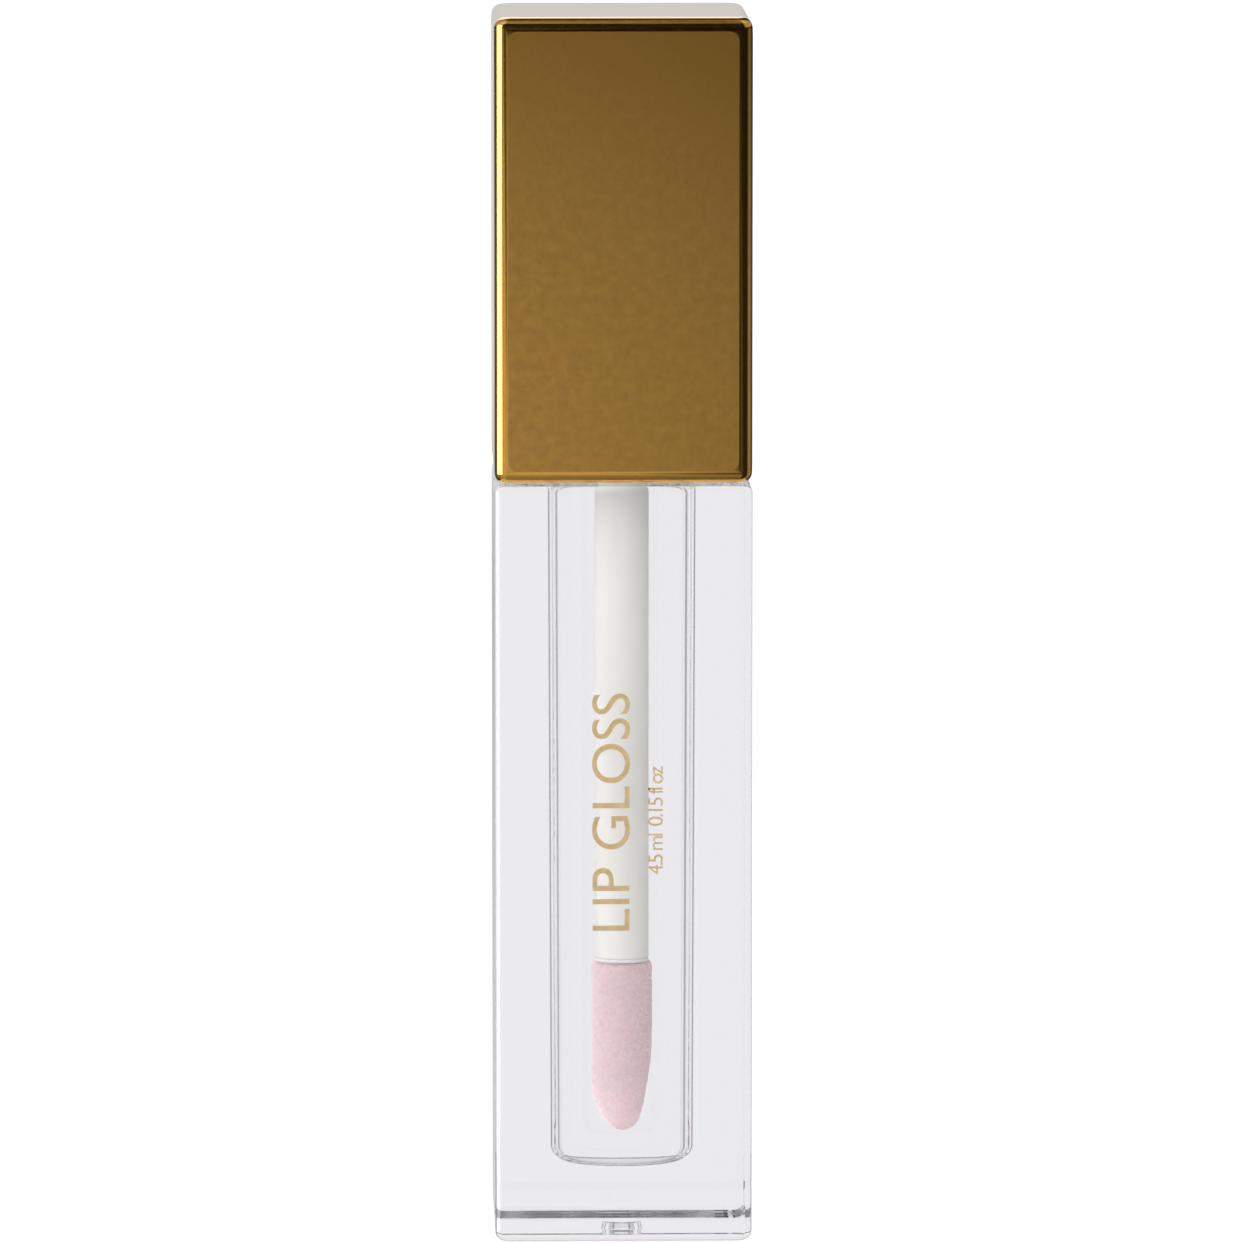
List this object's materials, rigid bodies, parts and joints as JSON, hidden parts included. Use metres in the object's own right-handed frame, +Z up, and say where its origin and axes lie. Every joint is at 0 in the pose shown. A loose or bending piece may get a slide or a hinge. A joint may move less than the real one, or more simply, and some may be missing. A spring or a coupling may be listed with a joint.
{
  "type": "lip gloss tube",
  "caption": "Square clear lip gloss tube with a round inner bore, a screw cap in a metallic finish and a flocked wand on its rod.",
  "frame": {"origin": "middle of the bottle's foot, on the surface it stands on", "axes": "+Z up through the cap, along the tube and the wand; -Y is the printed front; X across the front"},
  "size_m": [0.02, 0.02, 0.0956],
  "materials": {
    "clear_plastic": "clear moulded plastic, polished",
    "gloss": "clear liquid gloss",
    "wiper_plastic": "translucent soft plastic",
    "washer_foam": "closed-cell foam",
    "rod_plastic": "white moulded plastic, satin",
    "core_plastic": "white moulded plastic",
    "flock": "short nylon flock",
    "inner_cap_plastic": "natural white moulded plastic",
    "gold_cap": "moulded ABS, metallised and lacquered: gold mirror",
    "foil_print": "hot-stamped gold foil"
  },
  "bodies": {
    "bottle": {"bottle": "clear_plastic", "gloss": "gloss", "wiper": "wiper_plastic"},
    "seal": {"sealing_washer": "washer_foam"},
    "wand": {"wand_rod": "rod_plastic"},
    "cap": {"cap_shell": "gold_cap", "inner_cap": "inner_cap_plastic", "tip_core": "core_plastic", "flocked_tip": "flock"}
  },
  "joints": [
    {"name": "wand_pull", "type": "slide", "parent": "bottle", "child": "seal", "axis": [0, 0, 1], "range_m": [0, 0.075]},
    {"name": "thread_rise", "type": "slide", "parent": "seal", "child": "wand", "axis": [0, 0, 1], "range_m": [0, 0.00481]},
    {"name": "cap_turn", "type": "hinge", "parent": "wand", "child": "cap", "pos_m": [0, 0, 0.065], "axis": [0, 0, 1], "range_deg": [0, 720]}
  ],
  "couplings": [
    {"joint": "thread_rise", "follows": "cap_turn", "m_per_rad": 0.00038197}
  ]
}
